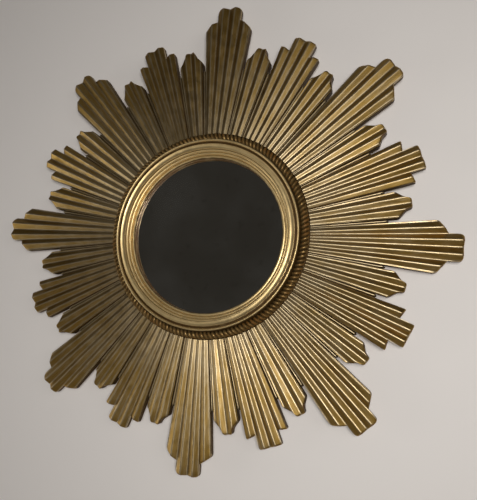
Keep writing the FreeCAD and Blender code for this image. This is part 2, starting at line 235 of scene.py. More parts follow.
def lamp_settings(lamp, turn, rise, distance, side, watts):
    """Settings of one lamp that faces the mirror, each named after the lamp."""
    label = lamp.title()
    return {
        f"{lamp}_turn": angle(f"{label} turn", "Lamp to the right of straight ahead", turn),
        f"{lamp}_rise": angle(f"{label} rise", "Lamp above the level of the mirror", rise),
        f"{lamp}_distance": length(f"{label} distance", "Mirror to the lamp", distance),
        f"{lamp}_size": length(f"{label} size", "Side of the square lamp", side),
        f"{lamp}_power": power(f"{label} power", "Power of the lamp", watts),
    }


class StageSettings(PropertyGroup):
    """Wall, floor, lamps and camera."""

    wall_colour: colour("Wall", "Plain painted wall", (0.80, 0.748, 0.70))
    floor_colour: colour("Floor", "Plain pale floor", (0.72, 0.68, 0.64))
    room_colour: colour("Room", "Dim light of the rest of the room", (0.026, 0.023, 0.019))
    floor_drop: length("Floor drop", "Axis of the sunburst to the floor", 1.25)
    stage_reach: length("Stage reach", "Half width of the wall and the floor", 4.0)
    __annotations__ |= lamp_settings("key", turn=19.8, rise=-4.6, distance=1.18, side=0.3, watts=8.8)
    __annotations__ |= lamp_settings("side", turn=-76, rise=-17, distance=2.0, side=1.0, watts=6.6)
    __annotations__ |= lamp_settings("fill", turn=47, rise=5, distance=2.0, side=0.8, watts=2.8)
    __annotations__ |= lamp_settings("top", turn=-30, rise=60, distance=2.0, side=1.4, watts=1)
    __annotations__ |= lamp_settings("rear", turn=160, rise=15, distance=2.0, side=1.4, watts=12)
    camera_place: FloatVectorProperty(
        name="Camera place", description="Place of the camera", size=3, unit="LENGTH",
        default=(0.27482, -0.76874, -0.34898))
    camera_turn: FloatVectorProperty(
        name="Camera turn", description="Rotation of the camera", size=3, subtype="EULER",
        default=(math.radians(92.845), math.radians(-5.211), math.radians(17.145)))
    camera_lens: FloatProperty(
        name="Lens", description="Focal length in millimetres", subtype="DISTANCE_CAMERA",
        default=38.708)
    camera_shift: FloatVectorProperty(
        name="Shift", description="Crop of the photograph", size=2, default=(0.01578, 0.09235))


# Helpers for pieces

def front_point(x, height, z):
    """Place at a height in front of the backboard, about the axis of the sunburst."""
    return Vector((x, board_face - height, z))


def turn_clockwise(bm, verts, turn):
    """Turns part of a mesh about the axis of the sunburst, clockwise as seen from the front."""
    bmesh.ops.rotate(bm, verts=verts, cent=(0, 0, 0), matrix=Matrix.Rotation(turn, 3, "Y"))


def repeat_round(bm, count):
    """Repeats all that the mesh holds at equal turns round the axis of the sunburst."""
    bmesh.ops.spin(
        bm, geom=bm.verts[:] + bm.edges[:] + bm.faces[:], cent=(0, 0, 0), axis=(0, 1, 0), dvec=(0, 0, 0),
        angle=FULL_TURN * (count - 1) / count, steps=count - 1, use_merge=False, use_duplicate=True)


def soften(bm, geom, offset, segments=2, affect="EDGES"):
    """Rounds off edges, or the corners of a section."""
    bmesh.ops.bevel(
        bm, geom=geom, offset=offset, offset_type="OFFSET", segments=segments, profile=0.5,
        affect=affect, clamp_overlap=True, material=-1)


def sharp_edges(bm, limit=SHARP_ANGLE):
    return [edge for edge in bm.edges if edge.is_manifold and edge.calc_face_angle(0) > limit]


def only(kind, items):
    """Vertices, edges or faces out of the mixed list that an operator gives back."""
    return [item for item in items if isinstance(item, kind)]


def clamp(value):
    return min(1.0, max(0.0, value))


def quarter_dip(distance, radius):
    """How far a rounded edge lies below its corner, at a distance in from the edge."""
    if distance >= radius:
        return 0.0
    return radius * (1 - math.sqrt(1 - (1 - distance / radius) ** 2))


def vert_mark(bm, name):
    """Layer of values at the vertices that a finish reads by its name."""
    return bm.verts.layers.float.get(name) or bm.verts.layers.float.new(name)


def mark_relief(bm, gain, spread):
    """Marks hollows and worn edges from the bend of the surface at each vertex."""
    hollow = vert_mark(bm, "hollow")
    wear = vert_mark(bm, "wear")
    bm.normal_update()
    bends = {}
    for vert in bm.verts:
        sides = [(edge.other_vert(vert).co - vert.co).normalized() for edge in vert.link_edges]
        bends[vert] = sum(side.dot(vert.normal) for side in sides) / len(sides)
    for _ in range(spread):
        bends = {
            vert: (bend + max((bends[edge.other_vert(vert)] for edge in vert.link_edges), key=abs)) / 2
            for vert, bend in bends.items()}
    for vert, bend in bends.items():
        vert[hollow] = clamp(bend * gain)
        vert[wear] = clamp(-bend * gain)


def mark_round_uv(bm):
    """UV in metres on a turned piece: across the moulding and along the circle."""
    layer = bm.loops.layers.uv.new(SURFACE_UV)
    for face in bm.faces:
        middle = face.calc_center_median()
        middle_turn = math.atan2(middle.x, middle.z)
        radius = math.hypot(middle.x, middle.z)
        for loop in face.loops:
            place = loop.vert.co
            turn = math.atan2(place.x, place.z) - middle_turn
            turn = (turn + math.pi) % FULL_TURN - math.pi
            across = math.hypot(place.x, place.z) - place.y
            loop[layer].uv = (across, (middle_turn + turn) * radius)


def tidy_mesh(bm):
    bmesh.ops.remove_doubles(bm, verts=bm.verts, dist=MERGE_DISTANCE)
    bmesh.ops.recalc_face_normals(bm, faces=bm.faces)


def turn_section(bm, steps):
    """Takes the section that a mesh holds through a full turn about the depth axis."""
    bmesh.ops.spin(
        bm, geom=bm.verts[:] + bm.edges[:], cent=(0, 0, 0), axis=(0, 1, 0), dvec=(0, 0, 0),
        angle=FULL_TURN, steps=steps, use_merge=True, use_duplicate=False)
    tidy_mesh(bm)


def round_plate(radius, sides, start_y, end_y, nose=0.0):
    """Round plate between two depths; its lower half may stand further down, as a nose."""
    bm = bmesh.new()
    upright = Matrix.Rotation(QUARTER_TURN, 4, "X")
    bmesh.ops.create_circle(bm, cap_ends=True, radius=radius, segments=sides, matrix=upright)
    lower = [vert for vert in bm.verts if vert.co.z < -MERGE_DISTANCE]
    bmesh.ops.translate(bm, verts=lower, vec=(0, 0, -nose))
    bmesh.ops.translate(bm, verts=bm.verts, vec=(0, start_y, 0))
    made = bmesh.ops.extrude_face_region(bm, geom=bm.faces[:])["geom"]
    bmesh.ops.translate(bm, verts=only(BMVert, made), vec=(0, end_y - start_y, 0))
    tidy_mesh(bm)
    return bm


def add_object(name, bm, materials):
    """Makes a mesh into an object of the scene."""
    mesh = bpy.data.meshes.new(name)
    bm.to_mesh(mesh)
    bm.free()
    for material in materials:
        mesh.materials.append(material)
    made = bpy.data.objects.new(name, mesh)
    bpy.context.scene.collection.objects.link(made)
    return made


def finish_piece(name, bm, body, materials, nodes, sharp=SHARP_ANGLE):
    """Makes a mesh into a piece about the axis of the sunburst, ties it to its CAD body and hides the CAD
    nodes that it stands for.
    """
    bmesh.ops.translate(bm, verts=bm.verts, vec=centre)
    piece = add_object(name, bm, materials)
    piece.data.shade_smooth()
    piece.data.set_sharp_from_angle(angle=sharp)
    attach(piece, body)
    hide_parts(*nodes)


# Helpers for finishes

def add_node(tree, kind, inputs, **settings):
    """Adds a shader node; an input is a value, or the socket that it is linked to."""
    node = tree.nodes.new(kind)
    for name, value in settings.items():
        setattr(node, name, value)
    for name, value in inputs.items():
        if isinstance(value, NodeSocket):
            tree.links.new(value, node.inputs[name])
        else:
            node.inputs[name].default_value = value
    return node


def opaque(rgb):
    return (*rgb, 1.0)


def start_material(name):
    material = bpy.data.materials.new(name)
    material.use_nodes = True
    tree = material.node_tree
    return material, tree, tree.nodes["Principled BSDF"]


def object_place(tree):
    return add_node(tree, "ShaderNodeTexCoord", {}).outputs["Object"]


def surface_place(tree):
    return add_node(tree, "ShaderNodeUVMap", {}, uv_map=SURFACE_UV).outputs["UV"]


def mark(tree, name):
    return add_node(tree, "ShaderNodeAttribute", {}, attribute_name=name).outputs["Fac"]


def scaled(tree, vector, scale):
    return add_node(tree, "ShaderNodeMapping", {"Vector": vector, "Scale": scale}).outputs["Vector"]


def clouds(tree, vector, scale=1.0, detail=2.0):
    inputs = {"Vector": vector, "Scale": scale, "Detail": detail}
    return add_node(tree, "ShaderNodeTexNoise", inputs).outputs["Fac"]


def between(tree, value, start, end, low=0.0, high=1.0):
    """Value taken from one range to another with soft ends."""
    inputs = {"Value": value, "From Min": start, "From Max": end, "To Min": low, "To Max": high}
    node = add_node(tree, "ShaderNodeMapRange", inputs, interpolation_type="SMOOTHSTEP")
    return node.outputs["Result"]


def sums(tree, operation, first, second):
    return add_node(tree, "ShaderNodeMath", {0: first, 1: second}, operation=operation).outputs["Value"]


def weighted(tree, *terms):
    """Sum of sockets, each given with its weight."""
    parts = [sums(tree, "MULTIPLY", socket, weight) for socket, weight in terms]
    total = parts[0]
    for part in parts[1:]:
        total = sums(tree, "ADD", total, part)
    return total


def blended(tree, factor, first, second):
    """Colour between two colours."""
    first = first if isinstance(first, NodeSocket) else opaque(first)
    second = second if isinstance(second, NodeSocket) else opaque(second)
    return add_node(tree, "ShaderNodeMix", {0: factor, 6: first, 7: second}, data_type="RGBA").outputs[2]


def set_bump(tree, shader, height, distance, strength=1.0):
    inputs = {"Height": height, "Distance": distance, "Strength": strength}
    bump = add_node(tree, "ShaderNodeBump", inputs)
    tree.links.new(bump.outputs["Normal"], shader.inputs["Normal"])


def wire(tree, shader, **sockets):
    for name, socket in sockets.items():
        tree.links.new(socket, shader.inputs[name.replace("_", " ").title()])


# Where wax and wear set in and where they are full, before a paint's own reach is taken off
WAX_START = 1.22
WAX_END = 1.5
WAX_END_SHARE = 0.6
WEAR_START = 1.42
WEAR_END = 1.56
WEAR_END_SHARE = 0.7
GLOSS_SPREAD = 0.06


def gilt(name, tones, light, deep, wax, wear, roughness, lustre):
    """Gold paint over a red-brown ground, waxed in the hollows and worn on the edges; on a ray the flanks
    are painted deeper as shade and the ridge and valley lines paler as highlight.
    """
    material, tree, shader = start_material(name)
    place = object_place(tree)
    surface = surface_place(tree)
    patches = clouds(tree, place, scale=26, detail=3)
    flecks = clouds(tree, place, scale=520, detail=3)
    grime = clouds(tree, place, scale=75, detail=4)
    strokes = clouds(tree, scaled(tree, surface, (1500, 55, 1)), detail=3)
    rubs = clouds(tree, scaled(tree, surface, (260, 26, 1)), detail=4)

    # Thickness of the gold from patches and strokes, less on a ray's flanks as painted shade, which
    # leaves the lines pale as painted highlight
    thickness_and_shade = weighted(tree, (patches, 0.35), (strokes, 0.75), (mark(tree, "flank"), -0.2))
    gold = blended(tree, between(tree, thickness_and_shade, start=0.17, end=0.65), deep, light)
    waxed = weighted(tree, (mark(tree, "hollow"), 1.0), (grime, 0.45))
    waxed = between(tree, waxed, WAX_START - wax, WAX_END - wax * WAX_END_SHARE)
    toned = blended(tree, waxed, gold, tones.patina)
    worn = weighted(tree, (mark(tree, "wear"), 1.0), (rubs, 0.8))
    worn = between(tree, worn, WEAR_START - wear, WEAR_END - wear * WEAR_END_SHARE)
    finished = blended(tree, worn, toned, tones.bole)

    matt = sums(tree, "MAXIMUM", weighted(tree, (waxed, 0.55)), weighted(tree, (worn, 0.75)))
    metal = sums(tree, "MULTIPLY", sums(tree, "SUBTRACT", 1.0, matt), lustre)
    gloss = weighted(tree, (flecks, 0.5), (grime, 0.5))
    gloss = between(
        tree, gloss, start=0.35, end=0.65, low=roughness - GLOSS_SPREAD, high=roughness + GLOSS_SPREAD)
    gloss = weighted(tree, (gloss, 1.0), (matt, 0.16))
    wire(tree, shader, base_color=finished, metallic=metal, roughness=gloss)
    shader.inputs["Specular IOR Level"].default_value = 0.2
    relief = weighted(tree, (strokes, 0.6), (flecks, 0.4))
    set_bump(tree, shader, relief, distance=0.00016, strength=0.55)
    return material


def bare_wood(name, light, dark):
    """Sawn wood with grain along the surface."""
    material, tree, shader = start_material(name)
    place = object_place(tree)
    grain = clouds(tree, scaled(tree, place, (240, 60, 14)), detail=5)
    stain = clouds(tree, place, scale=9, detail=3)
    tone = between(tree, weighted(tree, (grain, 1.0), (stain, 0.5)), start=0.5, end=1.05)
    wire(tree, shader, base_color=blended(tree, tone, dark, light))
    wire(tree, shader, roughness=between(tree, grain, start=0, end=1, low=0.6, high=0.85))
    set_bump(tree, shader, grain, distance=0.0003, strength=0.5)
    return material


def plywood(name, light, dark, ply_thickness):
    """Veneer with grain on its faces and glue lines along its edges."""
    material, tree, shader = start_material(name)
    place = object_place(tree)
    grain = clouds(tree, scaled(tree, place, (170, 30, 9)), detail=6)
    figure = clouds(tree, scaled(tree, place, (34, 8, 3)), detail=3)
    face = between(tree, sums(tree, "ADD", grain, figure), start=0.72, end=1.3)
    depth = add_node(tree, "ShaderNodeSeparateXYZ", {"Vector": place}).outputs["Y"]
    plies = sums(tree, "PINGPONG", depth, ply_thickness)
    plies = between(
        tree, plies, start=ply_thickness * 0.35, end=ply_thickness * 0.65, low=0.1, high=1.0)
    normal = add_node(tree, "ShaderNodeTexCoord", {}).outputs["Normal"]
    facing = add_node(tree, "ShaderNodeSeparateXYZ", {"Vector": normal}).outputs["Y"]
    facing = between(tree, sums(tree, "ABSOLUTE", facing, 0.0), start=0.4, end=0.6)
    tone = add_node(tree, "ShaderNodeMix", {0: facing, 2: plies, 3: face}).outputs[0]
    wire(tree, shader, base_color=blended(tree, tone, dark, light))
    wire(tree, shader, roughness=between(tree, grain, start=0, end=1, low=0.5, high=0.75))
    set_bump(tree, shader, grain, distance=0.00025, strength=0.45)
    return material


def mirror_silver(name, silvering, foxing):
    """Silvered glass with faint old clouds."""
    material, tree, shader = start_material(name)
    place = object_place(tree)
    spots = between(tree, clouds(tree, place, scale=90, detail=4), start=0.58, end=0.75)
    haze = clouds(tree, place, scale=9, detail=3)
    wire(tree, shader, base_color=blended(tree, spots, silvering, foxing))
    wire(tree, shader, metallic=between(tree, haze, start=0.35, end=0.7, low=1.0, high=0.985))
    wire(tree, shader, roughness=between(tree, haze, start=0.35, end=0.7, low=0.015, high=0.04))
    return material


DULL_SPREAD = 0.2


def old_metal(name, bright, tarnish, roughness):
    """Stamped metal with tarnish and fine scratches."""
    material, tree, shader = start_material(name)
    place = object_place(tree)
    stains = clouds(tree, place, scale=160, detail=4)
    scratches = clouds(tree, scaled(tree, place, (2600, 300, 300)), detail=2)
    dull = between(tree, stains, start=0.42, end=0.72)
    wire(tree, shader, base_color=blended(tree, dull, bright, tarnish))
    gloss = between(
        tree, sums(tree, "ADD", stains, scratches), start=0.7, end=1.3,
        low=roughness, high=roughness + DULL_SPREAD)
    wire(tree, shader, roughness=gloss)
    shader.inputs["Metallic"].default_value = 1.0
    set_bump(tree, shader, scratches, distance=0.00004, strength=0.5)
    return material


FIBRE_SHARES = Vector((1.0, 0.6, 0.35))
MOTTLE_SHARE = 0.06


def matted(name, light, dark, scale, roughness, relief):
    """Card, felt or floor paint: mottled fibres with no gloss."""
    material, tree, shader = start_material(name)
    place = object_place(tree)
    fibres = clouds(tree, scaled(tree, place, FIBRE_SHARES * scale), detail=4)
    mottle = clouds(tree, place, scale=scale * MOTTLE_SHARE, detail=2)
    tone = between(tree, sums(tree, "ADD", fibres, mottle), start=0.7, end=1.3)
    wire(tree, shader, base_color=blended(tree, tone, dark, light))
    shader.inputs["Roughness"].default_value = roughness
    set_bump(tree, shader, fibres, distance=relief, strength=0.8)
    return material


def darker(rgb, amount):
    return tuple(channel * amount for channel in rgb)


def finish(name):
    """Material of a finish, made the first time that it is asked for."""
    made = bpy.data.materials.get(name)
    if made:
        return made
    tones = bpy.context.scene.sunburst_finishes
    ply = bpy.context.scene.sunburst_back.ply_thickness
    makers = {
        "gilt_rays_paint": lambda: gilt(
            name, tones, tones.gilt_bright_and_highlight, tones.gilt_deep_and_shade,
            wax=0.3, wear=0.3, roughness=0.44, lustre=1.0),
        "gilt_ring_paint": lambda: gilt(
            name, tones, tones.ring_light, tones.ring_deep,
            wax=0.5, wear=0.2, roughness=0.42, lustre=0.9),
        "gilt_band_paint": lambda: gilt(
            name, tones, tones.band_light, tones.band_deep,
            wax=0.62, wear=0.1, roughness=0.42, lustre=0.8),
        "gilt_edge_paint": lambda: gilt(
            name, tones, tones.edge_light, tones.edge_deep,
            wax=0.6, wear=0.1, roughness=0.58, lustre=0.35),
        "carver_wood": lambda: bare_wood(name, tones.carver_wood, darker(tones.carver_wood, 0.45)),
        "plywood_board": lambda: plywood(name, tones.ply_light, tones.ply_dark, ply),
        "mirror_silver": lambda: mirror_silver(name, tones.silvering, tones.foxing),
        "packing_card": lambda: matted(
            name, tones.card, darker(tones.card, 0.6), scale=500, roughness=0.9, relief=0.0002),
        "aged_brass": lambda: old_metal(name, tones.brass, darker(tones.brass, 0.45), roughness=0.28),
        "screw_steel": lambda: old_metal(name, tones.steel, darker(tones.steel, 0.4), roughness=0.32),
        "wall_felt": lambda: matted(
            name, tones.felt, darker(tones.felt, 0.5), scale=900, roughness=0.98, relief=0.0005),
    }
    return makers[name]()


# Rays and slips

def ray_falls(sizes):
    """Falls along a ray: every ridge and valley line runs through one point on the axis."""
    crest = (sizes.crest_at_ring - sizes.crest_at_tip) / (sizes.long_reach - sizes.foot_radius)
    apex = sizes.crest_at_ring + crest * sizes.foot_radius
    return {
        "apex": apex,
        "crest": crest,
        "valley": crest + sizes.flute_depth / sizes.long_reach,
        "slip": crest + sizes.slip_drop / sizes.slip_reach,
        "slip_edge": (apex - sizes.slip_edge) / sizes.slip_reach,
    }


def flute_lines(sizes, half_angle, step_angle, hand):
    """Ridges and valleys across a ray and one past each edge, as (angle, fall), a little uneven."""
    falls = ray_falls(sizes)
    last = int(half_angle // step_angle) + 1
    lines = []
    for step in range(-last, last + 1):
        place = step_angle * (step + hand.uniform(-sizes.line_drift, sizes.line_drift))
        depth = hand.uniform(-sizes.depth_drift, sizes.depth_drift)
        fall = falls["crest"] if step % 2 else falls["valley"] * (1 + depth)
        lines.append((place, fall))
    return lines


def slope(start, end):
    return (end[1] - start[1]) / (end[0] - start[0])


def fall_at(lines, turn, soften):
    """Fall of the face at an angle from the ray's axis, with each ridge and valley rounded."""
    for before, here, after in zip(lines, lines[1:], lines[2:]):
        gap = turn - here[0]
        if abs(gap) < soften:
            rise = slope(before, here)
            bend = slope(here, after) - rise
            return here[1] + rise * gap + bend * (gap + soften) ** 2 / (4 * soften)
    for start, end in zip(lines, lines[1:]):
        if turn <= end[0]:
            return start[1] + slope(start, end) * (turn - start[0])
    return lines[-1][1]


# Steps along a rounded corner
ROUNDING_SHARES = (0.0, 0.2, 0.4, 0.6, 0.8, 1.0)


def rounded_end(corners):
    """End of a ray as (angle, reach) from its axis to its edge; corners holds (x, z, rounding)."""
    places = [Vector((x, z)) for x, z, rounding in corners]
    outline = [places[0]]
    for before, here, after, corner in zip(places, places[1:], places[2:], corners[1:]):
        rounding = corner[2]
        if rounding == 0:
            outline.append(here)
            continue
        start = here + (before - here).normalized() * rounding
        stop = here + (after - here).normalized() * rounding
        for part in ROUNDING_SHARES:
            outline.append(start.lerp(here, part).lerp(here.lerp(stop, part), part))
    return [(math.atan2(place.x, place.y), place.y) for place in outline]


def on_line(turn, reach, rounding=0.0):
    """Corner of an outline on a line at an angle from the ray's axis."""
    return (reach * math.tan(turn), reach, rounding)


def tabbed_end(sizes, half_angle, reach, inner_drop, outer_drop, side_round, tab_round):
    """Outline with a tab in the middle and a shoulder on each side."""
    tab = 2 * sizes.flute_step
    return rounded_end([
        (0, reach, 0),
        on_line(tab, reach, tab_round),
        on_line(tab + sizes.tab_nick, reach - inner_drop),
        on_line(half_angle, reach - outer_drop, side_round),
        on_line(half_angle, reach / 2),
    ])


def leaf_end(sizes):
    """Outline of a short ray, drawn in to a blunt tip."""
    reach = sizes.short_reach
    return rounded_end([
        (0, reach, 0),
        (sizes.short_tip_width, reach, sizes.short_corner_round),
        (sizes.short_shoulder_width, reach - sizes.short_shoulder_inner, sizes.short_shoulder_round),
        on_line(sizes.short_half, reach - sizes.short_shoulder_outer, sizes.short_shoulder_round),
        on_line(sizes.short_half, reach / 2),
    ])


def reach_at(outline, turn):
    """Reach of an outline at an angle from the ray's axis."""
    turn = abs(turn)
    for start, end in zip(outline, outline[1:]):
        if turn <= end[0]:
            return start[1] + slope(start, end) * (turn - start[0])
    return outline[-1][1]


# Cuts beside a ridge or valley, between two of them and over the rounded end
COLUMN_SHARES = (-1.0, -0.62, -0.25, 0.25, 0.62, 1.0)
FACET_SHARES = (0.32, 0.66)
END_SHARES = (0.72, 0.46, 0.25, 0.1, 0.0)
COLUMN_GAP = math.radians(0.008)


def carving_columns(lines, outline, half_angle, soften):
    """Angles of the cuts along a ray: its outline's corners, then its ridges, valleys and facets."""
    columns = [side * turn for turn, reach in outline for side in (-1, 1)]
    columns += [turn + part * soften for turn, fall in lines for part in COLUMN_SHARES]
    for (start, _), (end, _) in zip(lines, lines[1:]):
        columns += [start + (end - start) * part for part in FACET_SHARES]
    kept = []
    for turn in columns:
        if abs(turn) <= half_angle and all(abs(turn - other) > COLUMN_GAP for other in kept):
            kept.append(turn)
    return sorted(kept)


# Unevenness of the cut faces: waves across and along a ray in each metre, and a step for each seed
CUT_WAVES = (Vector((260, 42, 3.7)), Vector((60, 16, 5.3)))
# Strength of the wax, the wear and the painted shade on the flanks, and how they change towards the end
# of a ray
VALLEY_WAX = 0.8
VALLEY_WAX_FADE = 0.2
RIDGE_WEAR = 0.55
RIDGE_WEAR_FALL = 3.5
END_WEAR = 0.6
FLANK_SHADE = 0.7
FLANK_SHADE_GAIN = 0.9
# Half width of the pale lines along ridges and valleys, painted there as highlight, as a share of their
# rounding
HIGHLIGHT_LINE_SHARE = 0.6
# Material numbers of a ray; its face has number 0
BACK_FINISH = 1
SIDE_FINISH = 2


def carve_face(bm, sizes, lines, outline, rounding, seed):
    """Carves the fluted face of one upright ray and marks its wax, its wear and the painted shade of its
    flanks.
    """
    hollow = vert_mark(bm, "hollow")
    wear = vert_mark(bm, "wear")
    flank = vert_mark(bm, "flank")
    falls = ray_falls(sizes)
    depth = falls["valley"] - falls["crest"]
    half_angle = outline[-1][0]
    columns = carving_columns(lines, outline, half_angle, rounding / sizes.foot_radius)
    rows = [(step / sizes.body_rows, sizes.end_round) for step in range(sizes.body_rows + 1)]
    rows += [(1.0, sizes.end_round * part) for part in END_SHARES]
    verts = bmesh.ops.create_grid(
        bm, x_segments=len(columns) - 1, y_segments=len(rows) - 1, size=1)["verts"]
    for vert in verts:
        turn = columns[round((vert.co.x + 1) / 2 * (len(columns) - 1))]
        along, back = rows[round((vert.co.y + 1) / 2 * (len(rows) - 1))]
        foot = sizes.foot_radius * math.cos(turn)
        reach = reach_at(outline, turn)
        z = foot + (reach - back - foot) * along
        x = z * math.tan(turn)
        fall = fall_at(lines, turn, rounding / z)
        height = falls["apex"] - fall * z
        for waves in CUT_WAVES:
            height += sizes.carving_wave * noise.noise(Vector((x, z, seed)) * waves)
        height -= quarter_dip(reach - z, sizes.end_round)
        height -= quarter_dip(z * (math.tan(half_angle) - math.tan(abs(turn))), sizes.edge_round)
        vert.co = front_point(x, height, z)

        below_ridge = (fall - falls["crest"]) / depth
        near_end = clamp(1 - (reach - z) / sizes.end_wear)
        to_line = min(abs(turn - line) for line, _ in lines) * z
        vert[hollow] = clamp(below_ridge) * (VALLEY_WAX - VALLEY_WAX_FADE * along)
        vert[wear] = clamp(1 - RIDGE_WEAR_FALL * below_ridge) * RIDGE_WEAR * along ** 2
        vert[wear] += END_WEAR * near_end ** 2
        # Flanks away from the ridge and valley lines take painted shade, more of it towards the end of
        # the ray; the lines keep the pale gold as painted highlight
        vert[flank] = clamp(to_line / rounding - HIGHLIGHT_LINE_SHARE) * (FLANK_SHADE + FLANK_SHADE_GAIN * along)
    return verts


def carve(bm, sizes, lines, outline, rounding, seed):
    """Carves one upright ray: its fluted face, cut end, sides and flat back."""
    hollow = vert_mark(bm, "hollow")
    uv = bm.loops.layers.uv.get(SURFACE_UV) or bm.loops.layers.uv.new(SURFACE_UV)
    verts = carve_face(bm, sizes, lines, outline, rounding, seed)
    faces = {face for vert in verts for face in vert.link_faces}
    rim = {edge for face in faces for edge in face.edges if edge.is_boundary}
    walls = bmesh.ops.extrude_edge_only(bm, edges=list(rim))["geom"]
    for vert in only(BMVert, walls):
        vert.co.y = board_face
        vert[hollow] = 1.0
    foot = [edge for edge in only(BMEdge, walls) if edge.is_boundary]
    back = bmesh.ops.edgeloop_fill(bm, edges=foot, mat_nr=BACK_FINISH)["faces"]
    sides = only(BMFace, walls)
    for face in sides:
        face.material_index = SIDE_FINISH
    faces.update(back + sides)
    for face in faces:
        for loop in face.loops:
            place = loop.vert.co
            loop[uv].uv = (place.x, place.z + place.y - board_face)
    return list({vert for face in faces for vert in face.verts})


def ray_finishes():
    """Finishes of a ray's face, back and sides, in the order of their material numbers."""
    return [finish("gilt_rays_paint"), finish("carver_wood"), finish("gilt_edge_paint")]


SEED_RANGE = (1, 90)


class SUNBURST_OT_carve_rays(Operator):
    """Carve the long, medium and short rays, each with its own unevenness"""

    bl_idname = "sunburst.carve_rays"
    bl_label = "Carve Rays"

    def execute(self, context):
        sizes = context.scene.sunburst_rays
        hand = random.Random(sizes.hand_seed)
        long_end = tabbed_end(
            sizes, sizes.long_half, sizes.long_reach, sizes.long_shoulder_inner,
            sizes.long_shoulder_outer, sizes.long_shoulder_round, sizes.long_corner_round)
        medium_end = tabbed_end(
            sizes, sizes.medium_half, sizes.medium_reach, sizes.medium_strip_inner,
            sizes.medium_strip_outer, sizes.medium_corner_round, sizes.medium_corner_round)
        long_turns = [step * OCTANT for step in range(OCTANTS)]
        medium_turns = [(step + 0.5) * OCTANT for step in range(OCTANTS)]
        short_turns = []
        for step in range(OCTANTS):
            short_turns += [step * OCTANT + sizes.short_offset, (step + 1) * OCTANT - sizes.short_offset]
        kinds = (
            ("long", sizes.long_half, sizes.flute_step, long_end, long_turns),
            ("medium", sizes.medium_half, sizes.flute_step, medium_end, medium_turns),
            ("short", sizes.short_half, sizes.short_flute_step, leaf_end(sizes), short_turns),
        )
        for kind, half_angle, step_angle, outline, turns in kinds:
            for number, turn in enumerate(turns, start=1):
                bm = bmesh.new()
                lines = flute_lines(sizes, half_angle, step_angle, hand)
                carve(bm, sizes, lines, outline, sizes.line_round, hand.uniform(*SEED_RANGE))
                tidy_mesh(bm)
                turn_clockwise(bm, bm.verts, turn)
                finish_piece(
                    f"carved_{kind}_{number:02d}", bm, "frame",
                    ray_finishes(), [f"ray_{kind}_{number:02d}"])
        return {"FINISHED"}


class SUNBURST_OT_carve_slips(Operator):
    """Carve the narrow slips that fill the gaps between the rays"""

    bl_idname = "sunburst.carve_slips"
    bl_label = "Carve Slips"

    def execute(self, context):
        sizes = context.scene.sunburst_rays
        falls = ray_falls(sizes)
        low = sizes.short_offset - sizes.short_half
        high = sizes.short_offset + sizes.short_half
        gaps = ((sizes.long_half, low), (high, OCTANT / 2 - sizes.medium_half))
        bm = bmesh.new()
        seed = sizes.hand_seed
        for start, end in gaps:
            half_angle = (end - start) / 2
            for side in (1, -1):
                for step in range(OCTANTS):
                    seed += 1
                    edge_fall = falls["slip_edge"]
                    lines = [(-half_angle, edge_fall), (0, falls["slip"]), (half_angle, edge_fall)]
                    outline = [(0, sizes.slip_reach), (half_angle, sizes.slip_reach - sizes.end_round)]
                    verts = carve(bm, sizes, lines, outline, sizes.slip_round, seed)
                    turn_clockwise(bm, verts, side * (start + half_angle) + step * OCTANT)
        tidy_mesh(bm)
        finish_piece("carved_slips", bm, "frame", ray_finishes(), ["filler_slips"])
        return {"FINISHED"}


# Ring and twisted band

BOW_STEPS = 7


def bowed(start, end, bow):
    """Points along an arc between two profile points that swells by its bow to the left of its run."""
    run = end - start
    side = Vector((-run.y, run.x)).normalized() * bow
    points = []
    for step in range(1, BOW_STEPS):
        part = step / BOW_STEPS
        points.append(start.lerp(end, part) + side * 4 * part * (1 - part))
    return points


# Swell of each turned run as a share of its width, hollow where it is negative
BEAD_SWELL_SHARE = 0.25
REED_SWELL_SHARE = 0.2
HOLLOW_SWELL_SHARE = -0.125
COVE_SWELL_SHARE = -0.45
# Wax and wear where they are less than full
LIP_WAX = 0.6
BEAD_WAX = 0.4
HOLLOW_WAX = 0.2
SWELL_WEAR = 0.25


